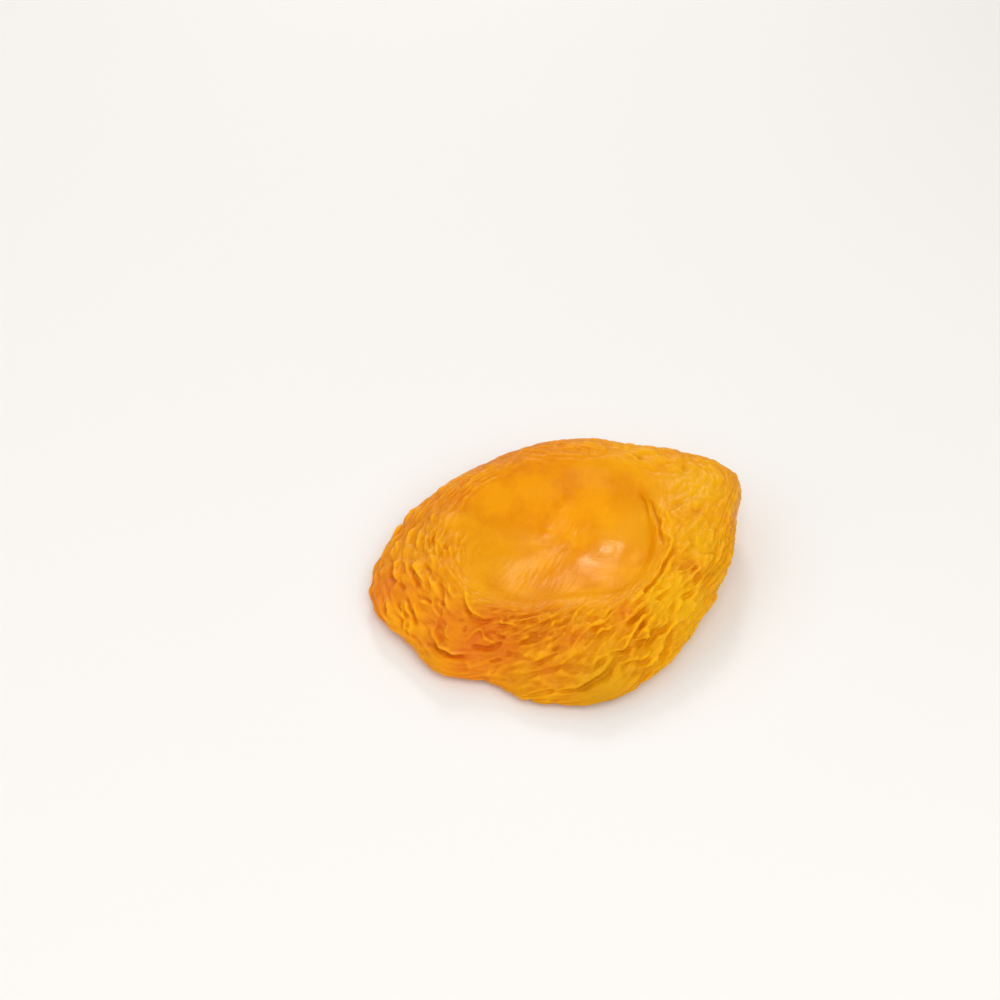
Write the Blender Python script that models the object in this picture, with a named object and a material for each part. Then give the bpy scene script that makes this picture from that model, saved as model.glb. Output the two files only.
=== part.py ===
# Dried peach half, lying on its skin side with the pit hollow up.
#
# The half is one solid. Its surface is a formula of two parameters: the bearing round the middle, and
# the way along a profile that starts in the pit hollow, climbs to the crest of the rim, runs down the
# shrivelled flank to the thin lip, turns under and ends in the middle of the sole. A sphere from the
# mesh tools gives the closed skin, and each of its points is moved onto that surface. All lengths are
# in mm until the mesh is filled.

from itertools import product

import bmesh
import bpy
import numpy as np

NAME = "dried_peach"
MM = 0.001

# Fineness of the skin: columns round the rim, rows from the hollow to the sole
COLUMNS = 90
ROWS = 64

# Reach of the lip from the middle, every 15 degrees anticlockwise from the right
LIP_REACH = (
    30.2, 33.0, 37.7, 34.0, 30.0, 29.6, 29.0, 28.8, 28.8, 29.2, 30.6, 31.8,
    33.4, 33.3, 30.1, 29.7, 26.2, 27.2, 27.7, 28.2, 27.2, 26.6, 26.4, 27.8,
)

# The rows below hold one value every 45 degrees, anticlockwise from the right
HOLLOW_REACH = (16.6, 19.0, 16.2, 17.4, 18.4, 18.8, 14.4, 16.6)
WALL_SHARE = (0.88, 0.86, 0.72, 0.72, 0.76, 0.80, 0.80, 0.86)
CREST_SHARE = (0.26, 0.26, 0.36, 0.28, 0.24, 0.22, 0.22, 0.22)
SHOULDER_SHARE = (0.72, 0.74, 0.72, 0.62, 0.56, 0.54, 0.54, 0.58)
FLANK_SHARE = (0.93, 0.93, 0.94, 0.88, 0.86, 0.85, 0.85, 0.87)
CREST_HEIGHT = (12.0, 12.0, 11.6, 11.0, 10.4, 9.8, 9.3, 10.5)
SHOULDER_HEIGHT = (11.7, 12.0, 11.1, 9.4, 8.2, 7.4, 7.1, 8.8)
FLANK_HEIGHT = (10.0, 10.6, 9.0, 6.8, 5.4, 4.6, 4.4, 6.2)
LIP_HEIGHT = (7.6, 8.2, 6.6, 4.6, 3.2, 2.7, 2.4, 3.8)
UNDER_HEIGHT = (4.6, 5.0, 3.8, 2.4, 1.4, 1.0, 0.9, 1.9)
SOLE_REACH = (12.4, 12.8, 11.2, 11.6, 13.0, 12.0, 10.6, 11.6)
# How much lower than the crest the border of the hollow lies
CREST_DROP = (0.9, 0.9, 0.8, 0.7, 0.5, 0.6, 0.5, 0.8)
# Shares of the ridges beside the hollow and on the flank, and of the wide pillows
INNER_SHARE = (0.50, 0.12, 0.15, 0.35, 0.60, 0.75, 0.50, 0.60)
OUTER_SHARE = (0.70, 0.18, 0.45, 0.80, 1.10, 0.85, 0.95, 0.95)
WIDE_SHARE = (0.80, 0.40, 0.40, 0.80, 0.60, 0.70, 0.90, 0.90)

# Pit hollow: its middle, the height of its floor, and how much of the rise to the crest its wall has
# at WALL_SHARE of its reach
HOLLOW_CENTRE = (0.5, 3.5)
HOLLOW_FLOOR = 6.6
WALL_RISE = 0.36
FLOOR_BACK = 0.28
# Two shallow lobes of the floor: middle x, middle y, reach, depth
LOBES = ((-8.5, 0.0, 7.5, 0.5), (9.0, 6.0, 6.5, 1.1))

# Lip and underside, as shares of the lip's reach and of the height under it
TURN_SHARE = 0.965
TURN_RISE = 0.5
UNDER_SHARE = 0.83
UNDER_RISE = 0.55

# Way along the profile from the hollow's middle to each station
WAY = np.array((0.0, 9.0, 14.5, 18.5, 22.0, 27.0, 31.5, 35.0, 38.0, 44.0, 58.0, 70.0))
TO_BORDER, TO_CREST, TO_LIP, TO_UNDER, TO_SOLE, TO_END = WAY[[3, 4, 7, 9, 10, 11]]

# Rows of the skin lie closest on the flank: share of the rows, and the way that they reach
ROW_SHARE = (0.0, 0.16, 0.79, 0.96, 1.0)
ROW_WAY = (0.0, 16.0, 38.5, 58.0, 70.0)

# Radius of the circle that stands for the rim in noise, and what brings noise to about -1 to 1
RIM_RADIUS = 28.0
NOISE_GAIN = 1.7

# Noises: length along the rim, width across it, size, seed.
# Shift of the wrinkles across the rim in mm, and along it in radians
WANDER = (13.0, 8.0, 2.2, 101)
SWAY = (8.0, 7.0, 0.07, 102)
# Slow rise and fall of the skin, and how the ridges come and go
SWELL = (16.0, 14.0, 0.5, 107)
ROUGH = (11.0, 9.0, 0.9, 106)
ROUGH_LEVEL = 0.75
ROUGH_LIMITS = (0.2, 1.5)

# Pillows between sharp valleys: length, width, rise, height of the valleys, roundness, seed
PILLOWS = (
    (12.0, 4.6, 1.0, 0.42, 0.10, 103),
    (7.0, 2.6, 0.9, 0.33, 0.10, 104),
)

# Long ridges side by side: spacing, rise, level, roundness of the valleys, and how they meander
RIDGE_SPACING = 1.9
RIDGE_RISE = 0.46
RIDGE_LEVEL = 0.68
RIDGE_ROUND = 0.30
MEANDER = (7.5, 3.6, 3.6, 108)

# Places where the skin stays smooth: x, y, reach, and the share of the wrinkles that is gone there
CALM = ((8.0, -26.0, 3.8), (-20.5, -22.0, 4.2), (-18.6, -16.4, 4.4))
CALM_SHARE = 0.85

# Folds that stand out: points from above, half width on the left and on the right of the way along
# them, rise
FOLDS = {
    "looped fold": (
        ((-21.7, -12.4), (-21.6, -14.7), (-21.5, -16.6), (-20.6, -18.2), (-18.5, -19.4), (-15.2, -19.3)),
        0.9, 0.9, 0.7),
    "crease outside the loop": (
        ((-24.6, -15.6), (-23.0, -16.9), (-21.9, -18.8), (-19.0, -20.4), (-15.2, -20.3)), 0.7, 0.9, -0.5),
    "edge of the hollow": (
        ((-16.7, -9.0), (-16.2, -11.6), (-15.0, -13.6), (-13.2, -14.5), (-10.8, -14.5)), 1.3, 0.8, 0.6),
    "crease under the edge": (
        ((-16.9, -13.0), (-15.6, -14.9), (-13.2, -15.6), (-10.4, -15.4), (-6.8, -15.2)), 0.7, 0.8, -0.55),
    "ridge over the lip": (
        ((7.7, -20.4), (7.5, -22.3), (6.3, -23.2), (4.2, -24.1), (2.6, -24.9), (0.4, -25.9)),
        0.9, 1.6, 0.6),
    "crease over the lip": (
        ((8.7, -20.4), (8.5, -22.8), (7.1, -24.0), (4.9, -24.9), (3.2, -25.7), (0.8, -26.8)),
        1.1, 0.9, -0.8),
    "broad lip": (
        ((1.5, -27.4), (6.5, -26.2), (10.5, -24.8), (13.8, -22.6)), 1.7, 1.7, 0.45),
    "long ridge": (
        ((8.5, -20.6), (9.8, -20.4), (10.8, -19.1), (12.7, -16.6), (15.3, -13.8)), 1.0, 0.9, 0.5),
    "groove right of the hollow": (
        ((17.9, -1.5), (17.0, -4.5), (15.6, -7.3), (13.8, -10.2), (12.2, -12.6), (10.6, -14.9)),
        0.7, 0.8, -0.5),
    "ridge right of the hollow": (
        ((19.3, -0.7), (18.7, -3.0), (17.9, -5.2), (16.5, -8.0), (14.7, -10.9), (13.0, -13.3),
         (11.6, -15.6)), 1.3, 0.8, 0.6),
    "long groove": (
        ((12.9, -18.4), (15.1, -17.2), (16.8, -15.8), (18.9, -13.6), (20.5, -10.9), (21.5, -9.2),
         (23.0, -7.0), (23.8, -5.0)), 0.7, 0.7, -0.45),
    "wall crease": (
        ((13.7, 16.9), (15.0, 13.8), (16.0, 10.9), (17.2, 7.4)), 0.8, 0.8, -0.5),
    "fold along the wall": (
        ((16.9, 10.6), (18.2, 7.4), (18.9, 4.6), (18.9, 1.7), (19.6, -0.7)), 0.9, 0.8, 0.5),
    "valley in the hollow": (
        ((2.8, 18.5), (1.2, 15.2), (-1.4, 11.3), (-3.0, 7.5)), 2.0, 1.6, -0.4),
}
# Share of a fold's length over which each end rises, and the steps between two points of its path
FOLD_ENDS = (-0.08, 0.25)
PATH_STEPS = 6


def around(values, bearing):
    """Smooth closed curve through values evenly spaced round the compass."""
    values = np.asarray(values, dtype=float)
    place = np.mod(bearing, 2 * np.pi) / (2 * np.pi) * len(values)
    left = np.floor(place).astype(int)
    share = place - left
    before, here, after, beyond = (values[(left + step) % len(values)] for step in (-1, 0, 1, 2))
    return curve_between(share, here, after, (after - before) / 2, (beyond - here) / 2)


def curve_between(share, start, end, start_slope, end_slope):
    """Cubic from start to end with the given slopes, share running from 0 to 1."""
    square, cube = share ** 2, share ** 3
    return ((2 * cube - 3 * square + 1) * start + (cube - 2 * square + share) * start_slope
            + (3 * square - 2 * cube) * end + (cube - square) * end_slope)


def ramp(value, low, high):
    """0 below low, 1 above high and a smooth step between."""
    share = np.clip((value - low) / (high - low), 0, 1)
    return share * share * (3 - 2 * share)


def stations(bearing):
    """Points that the profile at each bearing passes, from the hollow's middle to the sole's middle."""
    out = np.stack((np.cos(bearing), np.sin(bearing)), axis=-1)
    middle = np.array(HOLLOW_CENTRE)
    hollow = around(HOLLOW_REACH, bearing)[..., None] * out
    wall_share = around(WALL_SHARE, bearing)[..., None]
    border = middle + hollow
    lip = around(LIP_REACH, bearing)[..., None] * out

    def band(shares):
        share = around(shares, bearing)[..., None]
        return border * (1 - share) + lip * share

    plan = (
        middle + 0 * out,
        middle + (wall_share - FLOOR_BACK) * hollow,
        middle + wall_share * hollow,
        border,
        band(CREST_SHARE),
        band(SHOULDER_SHARE),
        band(FLANK_SHARE),
        lip,
        lip * TURN_SHARE,
        lip * UNDER_SHARE,
        around(SOLE_REACH, bearing)[..., None] * out,
        0 * out,
    )
    level = np.ones_like(bearing)
    crest = around(CREST_HEIGHT, bearing)
    under = around(UNDER_HEIGHT, bearing)
    height = (
        HOLLOW_FLOOR * level,
        HOLLOW_FLOOR + WALL_RISE / 4 * (crest - HOLLOW_FLOOR),
        HOLLOW_FLOOR + WALL_RISE * (crest - HOLLOW_FLOOR),
        crest - around(CREST_DROP, bearing),
        crest,
        around(SHOULDER_HEIGHT, bearing),
        around(FLANK_HEIGHT, bearing),
        around(LIP_HEIGHT, bearing),
        under + TURN_RISE,
        under * UNDER_RISE,
        0 * level,
        0 * level,
    )
    return np.concatenate((np.stack(plan), np.stack(height)[..., None]), axis=-1)


def base_surface(bearing, way):
    """Smooth form of the half: a cubic through the stations at the bearing, read at the way."""
    points = stations(bearing)
    slopes = np.empty_like(points)
    slopes[1:-1] = (points[2:] - points[:-2]) / (WAY[2:] - WAY[:-2])[:, None, None]
    slopes[0] = (points[1] - points[0]) / (WAY[1] - WAY[0])
    slopes[-1] = (points[-1] - points[-2]) / (WAY[-1] - WAY[-2])
    slopes[[0, -1], ..., 2] = 0
    here = np.clip(np.searchsorted(WAY, way, side="right") - 1, 0, len(WAY) - 2)
    step = WAY[here + 1] - WAY[here]
    share = ((way - WAY[here]) / step)[..., None]
    each = np.arange(len(way))
    surface = curve_between(share, points[here, each], points[here + 1, each],
                            slopes[here, each] * step[..., None],
                            slopes[here + 1, each] * step[..., None])
    inside = 1 - ramp(way, TO_BORDER, TO_CREST)
    for x, y, reach, depth in LOBES:
        away = (surface[..., 0] - x) ** 2 + (surface[..., 1] - y) ** 2
        surface[..., 2] -= depth * np.exp(-away / reach ** 2) * inside
    return surface


def outward(bearing, way):
    """Unit normals of the smooth form, from small steps along both parameters."""
    turn, walk = 0.01, 0.05
    along = base_surface(bearing + turn, way) - base_surface(bearing - turn, way)
    low, high = np.clip(way - walk, 0, TO_END), np.clip(way + walk, 0, TO_END)
    down = base_surface(bearing, high) - base_surface(bearing, low)
    normal = np.cross(down, along)
    length = np.linalg.norm(normal, axis=-1, keepdims=True)
    return normal / np.maximum(length, 1e-9)


def noise(points, seed):
    """Smooth noise from random slopes at whole-number places, about -1 to 1."""
    draw = np.random.RandomState(seed)
    table = draw.permutation(256)
    slopes = draw.normal(size=(256, 3))
    slopes /= np.linalg.norm(slopes, axis=1, keepdims=True)
    cell = np.floor(points).astype(int)
    part = points - cell
    fade = part ** 3 * (part * (part * 6 - 15) + 10)
    total = np.zeros(len(points))
    for corner in product((0, 1), repeat=3):
        place = cell + corner
        mixed = table[(table[(table[place[:, 0] % 256] + place[:, 1]) % 256] + place[:, 2]) % 256]
        weight = np.prod(np.where(corner, fade, 1 - fade), axis=1)
        total += weight * np.sum(slopes[mixed] * (part - corner), axis=1)
    return total * NOISE_GAIN


def rim_noise(bearing, way, along, across, seed):
    """Noise stretched along the rim, which closes on itself after one turn."""
    turn = RIM_RADIUS / along
    places = np.stack((np.cos(bearing) * turn, np.sin(bearing) * turn, way / across), axis=-1)
    return noise(places, seed)


def sized_noise(kind, bearing, way):
    """Rim noise with the length, width, size and seed of its kind."""
    along, across, size, seed = kind
    return size * rim_noise(bearing, way, along, across, seed)


def pillows(bearing, way):
    """Soft pillows with sharp valleys between: the size of the noise, its sign left out."""
    height = 0
    for along, across, rise, valley, roundness, seed in PILLOWS:
        value = rim_noise(bearing, way, along, across, seed)
        height = height + rise * (np.sqrt(value ** 2 + roundness ** 2) - valley)
    return height


def long_ridges(bearing, way):
    """Ridges that meander side by side: a wave across the rim with narrow troughs."""
    phase = np.pi * way / RIDGE_SPACING + sized_noise(MEANDER, bearing, way)
    return RIDGE_RISE * (np.sqrt(np.sin(phase) ** 2 + RIDGE_ROUND ** 2) - RIDGE_LEVEL)


def smooth_path(points):
    """A smooth open curve through the points of a path, as points set close together."""
    points = np.array(points)
    ends = np.concatenate((2 * points[:1] - points[1:2], points, 2 * points[-1:] - points[-2:-1]))
    slopes = (ends[2:] - ends[:-2]) / 2
    share = (np.arange(PATH_STEPS) / PATH_STEPS)[:, None]
    pieces = [curve_between(share, points[place], points[place + 1], slopes[place], slopes[place + 1])
              for place in range(len(points) - 1)]
    return np.concatenate(pieces + [points[-1:]])


def folds(surface):
    """Height of the single folds: a bead or crease along each fold's path, thinner at its ends."""
    spot = surface[:, :2]
    height = np.zeros(len(spot))
    for points, left, right, rise in FOLDS.values():
        path = smooth_path(points)
        nearest = np.full(len(spot), np.inf)
        place = np.zeros(len(spot))
        side = np.zeros(len(spot))
        for number, (start, end) in enumerate(zip(path[:-1], path[1:])):
            run = end - start
            reach = spot - start
            share = np.clip(reach @ run / (run @ run), 0, 1)
            away = np.linalg.norm(reach - share[:, None] * run, axis=1)
            closer = away < nearest
            nearest = np.where(closer, away, nearest)
            place = np.where(closer, (number + share) / (len(path) - 1), place)
            side = np.where(closer, run[0] * reach[:, 1] - run[1] * reach[:, 0], side)
        half_width = np.where(side > 0, left, right)
        taper = ramp(np.minimum(place, 1 - place), *FOLD_ENDS)
        height += rise * np.exp(-(nearest / half_width) ** 2) * taper
    return height


def skin(bearing, way):
    """Point of the wrinkled surface; what would lie below the table is flat on it."""
    surface = base_surface(bearing, way)
    shown = ramp(way, TO_BORDER - 3, TO_CREST) * (1 - ramp(way, TO_UNDER + 6, TO_SOLE))
    outer = ramp(way, TO_CREST, TO_CREST + 6)
    ridge_share = (1 - outer) * around(INNER_SHARE, bearing) + outer * around(OUTER_SHARE, bearing)
    wide_share = around(WIDE_SHARE, bearing)
    for x, y, reach in CALM:
        away = (surface[:, 0] - x) ** 2 + (surface[:, 1] - y) ** 2
        still = 1 - CALM_SHARE * np.exp(-away / reach ** 2) * (1 - ramp(way, TO_LIP, TO_LIP + 4))
        ridge_share, wide_share = ridge_share * still, wide_share * still
    moved = way + sized_noise(WANDER, bearing, way)
    swayed = bearing + sized_noise(SWAY, bearing, moved)
    rough = np.clip(ROUGH_LEVEL + sized_noise(ROUGH, bearing, way), *ROUGH_LIMITS)
    relief = pillows(swayed, moved) * wide_share + sized_noise(SWELL, bearing, way)
    relief += long_ridges(swayed, moved) * ridge_share * rough
    relief = relief * shown + folds(surface) * (1 - ramp(way, TO_LIP, TO_LIP + 2))
    surface = surface + outward(bearing, way) * relief[:, None]
    surface[:, 2] = np.maximum(surface[:, 2], 0)
    return surface


def make_half():
    """The solid: a sphere's closed skin, each point moved by its bearing and its share of the rows."""
    ball = bmesh.new()
    bmesh.ops.create_uvsphere(ball, u_segments=COLUMNS, v_segments=ROWS, radius=1)
    x, y, z = np.array([point.co for point in ball.verts], dtype=float).T
    share = np.arccos(np.clip(z, -1, 1)) / np.pi
    way = np.interp(share, ROW_SHARE, ROW_WAY)
    places = skin(np.arctan2(y, x), way)
    places[:, :2] -= (places.min(axis=0) + places.max(axis=0))[:2] / 2
    for point, place in zip(ball.verts, places * MM):
        point.co = place

    sole = [face for face in ball.faces if all(point.co.z == 0 for point in face.verts)
            and all(way[point.index] >= TO_SOLE - 0.01 for point in face.verts)]
    bmesh.ops.dissolve_faces(ball, faces=sole, use_verts=True)

    mesh = bpy.data.meshes.new(NAME)
    ball.to_mesh(mesh)
    ball.free()
    mesh.shade_smooth()
    return bpy.data.objects.new(NAME, mesh)


def flesh_material():
    """Matt, slightly waxy orange flesh."""
    material = bpy.data.materials.new("dried peach flesh")
    material.use_nodes = True
    surface = material.node_tree.nodes["Principled BSDF"]
    surface.inputs["Base Color"].default_value = (0.80, 0.27, 0.01, 1)
    surface.inputs["Roughness"].default_value = 0.45
    surface.inputs["Metallic"].default_value = 0.0
    return material


def main():
    for old in list(bpy.data.objects):
        bpy.data.objects.remove(old)
    half = make_half()
    half.data.materials.append(flesh_material())
    group = bpy.data.collections.new(NAME)
    bpy.context.scene.collection.children.link(group)
    group.objects.link(half)


main()
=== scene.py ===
# Dried peach half, cut face up: its fine skin, its finish, the studio and the camera.
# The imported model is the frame, and one fine piece takes the place of its solid.

import math
from itertools import product

import bpy
import numpy as np
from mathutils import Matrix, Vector


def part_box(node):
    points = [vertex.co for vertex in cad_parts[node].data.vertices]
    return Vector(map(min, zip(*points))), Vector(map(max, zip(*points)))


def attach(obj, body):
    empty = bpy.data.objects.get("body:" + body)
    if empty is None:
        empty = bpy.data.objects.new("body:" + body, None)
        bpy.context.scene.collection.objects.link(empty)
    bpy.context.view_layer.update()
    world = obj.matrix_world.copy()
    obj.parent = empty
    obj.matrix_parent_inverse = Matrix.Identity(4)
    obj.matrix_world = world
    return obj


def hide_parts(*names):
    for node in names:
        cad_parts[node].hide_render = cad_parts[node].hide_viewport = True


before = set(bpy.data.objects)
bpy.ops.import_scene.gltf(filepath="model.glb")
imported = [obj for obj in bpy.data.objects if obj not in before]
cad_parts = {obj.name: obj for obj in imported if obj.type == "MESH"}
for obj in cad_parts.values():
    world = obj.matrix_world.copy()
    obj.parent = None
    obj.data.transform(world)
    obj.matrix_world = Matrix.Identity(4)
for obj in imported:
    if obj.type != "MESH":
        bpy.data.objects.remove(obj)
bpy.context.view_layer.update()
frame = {"nodes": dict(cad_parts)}
print("frame loaded:", ", ".join(frame["nodes"]))

mm = 0.001
solidNode = "dried_peach"

# The half's form. Lengths are in mm; the skin runs from the hollow's middle over the rim to the sole.
peach = {
    "columns": 480,          # round the rim
    "rows": 206,             # from the hollow to the sole
    "crowding": 0.35,        # how much closer the columns stand on the wrinkled side
    "crowdedAt": 245.0,      # degrees
    # share of the rows, and the way that they have come by then
    "rowShare": (0.0, 0.13, 0.79, 0.95, 1.0),
    "rowWay": (0.0, 15.0, 38.5, 58.0, 70.0),
    # reach of the lip from the middle, every 15 degrees anticlockwise from the right
    "lipReach": (
        30.2, 33.0, 37.7, 34.0, 30.0, 29.6, 29.0, 28.8, 28.8, 29.2, 30.6, 31.8,
        33.4, 33.3, 30.1, 29.7, 26.2, 27.2, 27.7, 28.2, 27.2, 26.6, 26.4, 27.8,
    ),
    # every 45 degrees likewise: reach of the hollow from its own middle, and of the sole
    "hollowReach": (16.6, 19.0, 16.2, 17.4, 18.4, 18.8, 14.4, 16.6),
    "soleReach": (12.4, 12.8, 11.2, 11.6, 13.0, 12.0, 10.6, 11.6),
    # shares of the hollow's reach, and of the way from the hollow's border to the lip
    "wallShare": (0.88, 0.86, 0.72, 0.72, 0.76, 0.80, 0.80, 0.86),
    "crestShare": (0.26, 0.26, 0.36, 0.28, 0.24, 0.22, 0.22, 0.22),
    "shoulderShare": (0.72, 0.74, 0.72, 0.62, 0.56, 0.54, 0.54, 0.58),
    "flankShare": (0.93, 0.93, 0.94, 0.88, 0.86, 0.85, 0.85, 0.87),
    # heights above the ground, and how far the hollow's border lies below the crest
    "crestHeight": (12.0, 12.0, 11.6, 11.0, 10.4, 9.8, 9.3, 10.5),
    "shoulderHeight": (11.7, 12.0, 11.1, 9.4, 8.2, 7.4, 7.1, 8.8),
    "flankHeight": (10.0, 10.6, 9.0, 6.8, 5.4, 4.6, 4.4, 6.2),
    "lipHeight": (7.6, 8.2, 6.6, 4.6, 3.2, 2.7, 2.4, 3.8),
    "underHeight": (4.6, 5.0, 3.8, 2.4, 1.4, 1.0, 0.9, 1.9),
    "crestDrop": (0.9, 0.9, 0.8, 0.7, 0.5, 0.6, 0.5, 0.8),
    "hollowCentre": (0.5, 3.5),
    "hollowFloor": 6.6,      # height of the hollow's middle
    "wallRise": 0.36,        # height of the wall, as a share of that from floor to crest
    "floorRise": 0.25,       # height of the floor's edge, as a share of the wall's
    "floorBack": 0.28,       # how far it lies inside the wall, as a share of the hollow's reach
    "lobes": ((-8.5, 0.0, 7.5, 0.5), (9.0, 6.0, 6.5, 1.1)),   # dips in the floor: x, y, reach, depth
    "turnShare": 0.965,      # reach of the turn below the lip, as a share of the lip's
    "turnRise": 0.5,         # its height above underHeight
    "underShare": 0.83,      # reach of the underside, as a share of the lip's
    "underRise": 0.55,       # its height, as a share of underHeight
}

# way along the profile to each station, and the names of those that the bands use
wayStops = np.array((0.0, 9.0, 14.5, 18.5, 22.0, 27.0, 31.5, 35.0, 38.0, 44.0, 58.0, 70.0))
toBorder, toCrest, toLip, toUnder, toSole, toEnd = wayStops[[3, 4, 7, 9, 10, 11]]

# ways between which each kind of relief sets in or dies out
bands = {
    "floor": (toBorder, toCrest),           # the dips in the floor die out
    "rim": (toBorder - 3, toCrest),         # the wide relief sets in, and the hollow's own dies out
    "fine": (toBorder - 2, toCrest + 2),    # the fine relief sets in
    "flank": (toCrest, toCrest + 6),        # the ridges go from their innerShare to their outerShare
    "lean": (toLip - 4, toLip),             # the ridges stop leaning
    "folds": (toLip, toLip + 2),            # the folds die out
    "calm": (toLip, toLip + 4),             # the calm places end
    "underside": (toUnder + 6, toSole),     # the rim's relief dies out
    "sole": (toUnder, toSole),              # the sole's own creases set in
}


# cubic between two values with a slope at each, share running from 0 to 1
def cubic(share, start, end, startSlope, endSlope):
    square, cube = share ** 2, share ** 3
    return ((2 * cube - 3 * square + 1) * start + (cube - 2 * square + share) * startSlope
            + (3 * square - 2 * cube) * end + (cube - square) * endSlope)


# closed smooth curve through values evenly spaced round the compass
def around(values, bearing):
    values = np.asarray(values, dtype=float)
    place = np.mod(bearing, 2 * np.pi) / (2 * np.pi) * len(values)
    left = np.floor(place).astype(int)
    before, here, after, beyond = (values[(left + step) % len(values)] for step in (-1, 0, 1, 2))
    return cubic(place - left, here, after, (after - before) / 2, (beyond - here) / 2)


# 0 below low, 1 above high, a smooth step between
def ramp(value, low, high):
    share = np.clip((value - low) / (high - low), 0, 1)
    return share * share * (3 - 2 * share)


# how near each point is to a place from above: 1 there, falling as a bell over its reach
def roundSpot(form, x, y, reach):
    away = (form[:, 0] - x) ** 2 + (form[:, 1] - y) ** 2
    return np.exp(-away / reach ** 2)


# the points that the profile passes at each bearing: the hollow's middle, floor's edge, wall and border,
# then crest, shoulder, flank, lip, the turn below the lip, the underside, the sole's edge and its middle
def profileStations(bearing):
    out = np.stack((np.cos(bearing), np.sin(bearing)), axis=-1)
    middle = np.array(peach["hollowCentre"])
    hollow, lip, sole = (around(peach[name], bearing)[:, None] * out
                         for name in ("hollowReach", "lipReach", "soleReach"))
    wall = around(peach["wallShare"], bearing)[:, None]
    border = middle + hollow
    plan = [middle + 0 * out, middle + (wall - peach["floorBack"]) * hollow, middle + wall * hollow, border]
    for name in ("crestShare", "shoulderShare", "flankShare"):
        share = around(peach[name], bearing)[:, None]
        plan.append(border * (1 - share) + lip * share)
    plan += [lip, lip * peach["turnShare"], lip * peach["underShare"], sole, 0 * out]

    level = np.ones_like(bearing)
    floor = peach["hollowFloor"]
    crest, under = (around(peach[name], bearing) for name in ("crestHeight", "underHeight"))
    wallRise = peach["wallRise"] * (crest - floor)
    height = [floor * level, floor + peach["floorRise"] * wallRise, floor + wallRise]
    height += [crest - around(peach["crestDrop"], bearing), crest]
    height += [around(peach[name], bearing) for name in ("shoulderHeight", "flankHeight", "lipHeight")]
    height += [under + peach["turnRise"], under * peach["underRise"], 0 * level, 0 * level]
    return np.concatenate((np.stack(plan), np.stack(height)[..., None]), axis=-1)


# smooth form: a cubic through the stations at each bearing, read at each way, less the dips in the floor
def smoothForm(bearing, way):
    points = profileStations(bearing)
    slopes = np.empty_like(points)
    slopes[1:-1] = (points[2:] - points[:-2]) / (wayStops[2:] - wayStops[:-2])[:, None, None]
    slopes[0] = (points[1] - points[0]) / (wayStops[1] - wayStops[0])
    slopes[-1] = (points[-1] - points[-2]) / (wayStops[-1] - wayStops[-2])
    slopes[[0, -1], :, 2] = 0
    here = np.clip(np.searchsorted(wayStops, way, side="right") - 1, 0, len(wayStops) - 2)
    step = wayStops[here + 1] - wayStops[here]
    share = ((way - wayStops[here]) / step)[:, None]
    each = np.arange(len(way))
    form = cubic(share, points[here, each], points[here + 1, each],
                 slopes[here, each] * step[:, None], slopes[here + 1, each] * step[:, None])
    inside = 1 - ramp(way, *bands["floor"])
    for x, y, reach, depth in peach["lobes"]:
        form[:, 2] -= depth * roundSpot(form, x, y, reach) * inside
    return form


rimRadius = 28.0     # mm, of the circle on which the rim's noise is read
tableSize = 256      # random slopes that the noise draws from
noiseGain = 1.7      # brings the noise to about -1 to 1


# smooth noise: random slopes at whole-number places, blended over each cell by a soft fade
def slopeNoise(points, seed):
    draw = np.random.RandomState(seed)
    table = draw.permutation(tableSize)
    slopes = draw.normal(size=(tableSize, 3))
    slopes /= np.linalg.norm(slopes, axis=1, keepdims=True)
    cell = np.floor(points).astype(int)
    part = points - cell
    fade = part ** 3 * (part * (part * 6 - 15) + 10)
    total = np.zeros(len(points))
    for corner in product((0, 1), repeat=3):
        mixed = 0
        for place in (cell + corner).T:
            mixed = table[(mixed + place) % tableSize]
        weight = np.prod(np.where(corner, fade, 1 - fade), axis=1)
        total += weight * np.sum(slopes[mixed] * (part - corner), axis=1)
    return total * noiseGain


# noise stretched along the rim, which closes on itself after one turn
def rimNoise(bearing, way, along, across, seed):
    turn = rimRadius / along
    places = np.stack((np.cos(bearing) * turn, np.sin(bearing) * turn, way / across), axis=-1)
    return slopeNoise(places, seed)


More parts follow.
